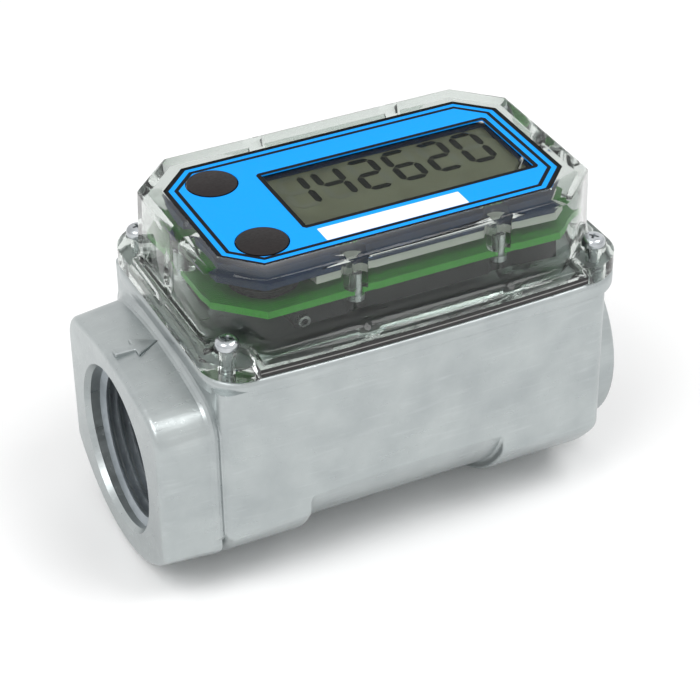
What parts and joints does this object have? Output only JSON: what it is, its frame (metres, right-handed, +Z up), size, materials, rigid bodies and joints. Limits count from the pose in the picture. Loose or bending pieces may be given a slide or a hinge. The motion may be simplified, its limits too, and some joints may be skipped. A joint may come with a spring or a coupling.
{
  "type": "turbine flow meter",
  "caption": "In-line turbine flow meter: cast body with threaded pipe ports, clear display case and two buttons.",
  "frame": {"origin": "on the surface it stands on, under the middle of the pipe run", "axes": "+X along the flow from inlet to outlet, +Z up through the display"},
  "size_m": [0.1016, 0.057, 0.0699],
  "materials": {
    "cast_aluminium": "rough die cast with fine tooling marks",
    "clear_plastic": "polished moulded clear plastic with a smoky tint",
    "seal_rubber": "matt moulded rubber",
    "screw_steel": "bright zinc plated steel",
    "label_print": "printed blue film with a black outline",
    "bezel_plastic": "dark blue moulded plastic",
    "display_glass": "grey liquid crystal glass",
    "white_plastic": "white moulded plastic",
    "board_laminate": "green solder mask on laminate",
    "chip_plastic": "black moulded chip package",
    "tinned_metal": "tinned and plated metal",
    "black_plastic": "black moulded plastic",
    "cell_steel": "bright nickel plated steel can",
    "copper_wire": "enamelled copper wire",
    "boot_rubber": "black silicone rubber",
    "button_plastic": "dark brown moulded push button",
    "vane_plastic": "light engineering plastic",
    "rotor_plastic": "white engineering plastic",
    "hard_metal": "ground hard metal",
    "bearing_ceramic": "polished ceramic",
    "magnet_metal": "nickel plated magnet"
  },
  "bodies": {
    "housing": {"meter_housing": "cast_aluminium", "cover_seal": "seal_rubber", "clear_cover": "clear_plastic", "face_label": "label_print", "display_bezel": "bezel_plastic", "lcd_glass": "display_glass", "lcd_holder": "white_plastic", "circuit_board": "board_laminate", "controller_chip": "chip_plastic", "crystal_can": "tinned_metal", "board_capacitors": "tinned_metal", "board_connector": "white_plastic", "battery_holder": "black_plastic", "battery_cell_1": "cell_steel", "battery_cell_2": "cell_steel", "battery_contact": "tinned_metal", "coil_bobbin": "black_plastic", "coil_winding": "copper_wire", "inlet_support": "vane_plastic", "outlet_support": "vane_plastic", "inlet_bearing": "bearing_ceramic", "outlet_bearing": "bearing_ceramic", "inlet_ring": "hard_metal", "outlet_ring": "hard_metal", "upper_boot": "boot_rubber", "upper_switch": "chip_plastic", "lower_boot": "boot_rubber", "lower_switch": "chip_plastic", "cover_screw_1": "screw_steel", "cover_screw_2": "screw_steel", "cover_screw_3": "screw_steel", "cover_screw_4": "screw_steel", "board_screw_1": "screw_steel", "board_screw_2": "screw_steel", "board_screw_3": "screw_steel", "board_screw_4": "screw_steel", "board_screw_5": "screw_steel", "board_screw_6": "screw_steel"},
    "rotor": {"turbine_rotor": "rotor_plastic", "rotor_shaft": "hard_metal", "rotor_magnet_1": "magnet_metal", "rotor_magnet_2": "magnet_metal"},
    "upper_push": {"upper_button": "button_plastic"},
    "lower_push": {"lower_button": "button_plastic"}
  },
  "joints": [
    {"name": "rotor_spin", "type": "hinge", "parent": "housing", "child": "rotor", "pos_m": [0, 0, 0.02305], "axis": [1, 0, 0], "continuous": true},
    {"name": "upper_button_press", "type": "slide", "parent": "housing", "child": "upper_push", "axis": [0, 0, -1], "range_m": [0, 0.0008], "stiffness_N_per_m": 900, "deforming": ["upper_boot"]},
    {"name": "lower_button_press", "type": "slide", "parent": "housing", "child": "lower_push", "axis": [0, 0, -1], "range_m": [0, 0.0008], "stiffness_N_per_m": 900, "deforming": ["lower_boot"]}
  ]
}
